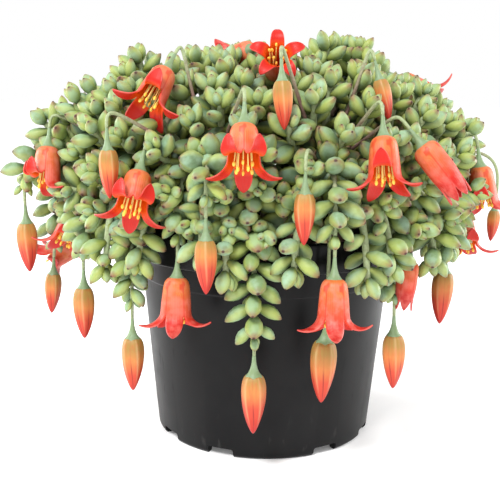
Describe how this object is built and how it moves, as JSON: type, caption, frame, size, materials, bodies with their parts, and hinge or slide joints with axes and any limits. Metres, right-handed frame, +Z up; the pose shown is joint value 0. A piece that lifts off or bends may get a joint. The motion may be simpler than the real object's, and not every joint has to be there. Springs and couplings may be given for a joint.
{
  "type": "potted trailing succulent",
  "caption": "Trailing succulent with plump blue-green leaf pairs, hanging orange-red bells and buds, in a plain black nursery pot.",
  "frame": {"origin": "on the surface that the pot stands on, under the centre of the plant and pot", "axes": "+Z up, -Y towards the front of the picture's view, +X to the right of that view"},
  "size_m": [0.252, 0.2296, 0.2034],
  "materials": {
    "pot": "satin black moulded plastic",
    "soil": "dark potting soil",
    "foliage": "waxy blue-green leaves with a pale bloom and red-brown tips",
    "bell": "soft orange-red petals",
    "bud": "olive to orange to red waxy buds",
    "stamens": "yellow anthers on pale filaments"
  },
  "bodies": {
    "root": {"pot": "pot", "soil": "soil", "branch_01": "foliage", "branch_02": "foliage", "branch_03": "foliage", "branch_04": "foliage", "branch_05": "foliage", "branch_06": "foliage", "branch_07": "foliage", "branch_08": "foliage", "branch_09": "foliage", "branch_10": "foliage", "branch_11": "foliage", "branch_12": "foliage", "bell_01": "bell", "bell_02": "bell", "bell_03": "bell", "bell_04": "bell", "bell_05": "bell", "bell_06": "bell", "bell_07": "bell", "bell_08": "bell", "bell_09": "bell", "bell_10": "bell", "bell_11": "bell", "bell_12": "bell", "bell_13": "bell", "bell_14": "bell", "bell_15": "bell", "bell_16": "bell", "bell_17": "bell", "bell_18": "bell", "bell_19": "bell", "bud_01": "bud", "bud_02": "bud", "bud_03": "bud", "bud_04": "bud", "bud_05": "bud", "bud_06": "bud", "bud_07": "bud", "bud_08": "bud", "bud_09": "bud", "bud_10": "bud", "bud_11": "bud", "bud_12": "bud", "bud_13": "bud", "bud_14": "bud", "bud_15": "bud", "bud_16": "bud", "bud_17": "bud", "bud_18": "bud", "bud_19": "bud", "bud_20": "bud", "stamens_01": "stamens", "stamens_02": "stamens", "stamens_03": "stamens", "stamens_04": "stamens", "stamens_05": "stamens", "stamens_06": "stamens", "stamens_07": "stamens"}
  },
  "joints": []
}
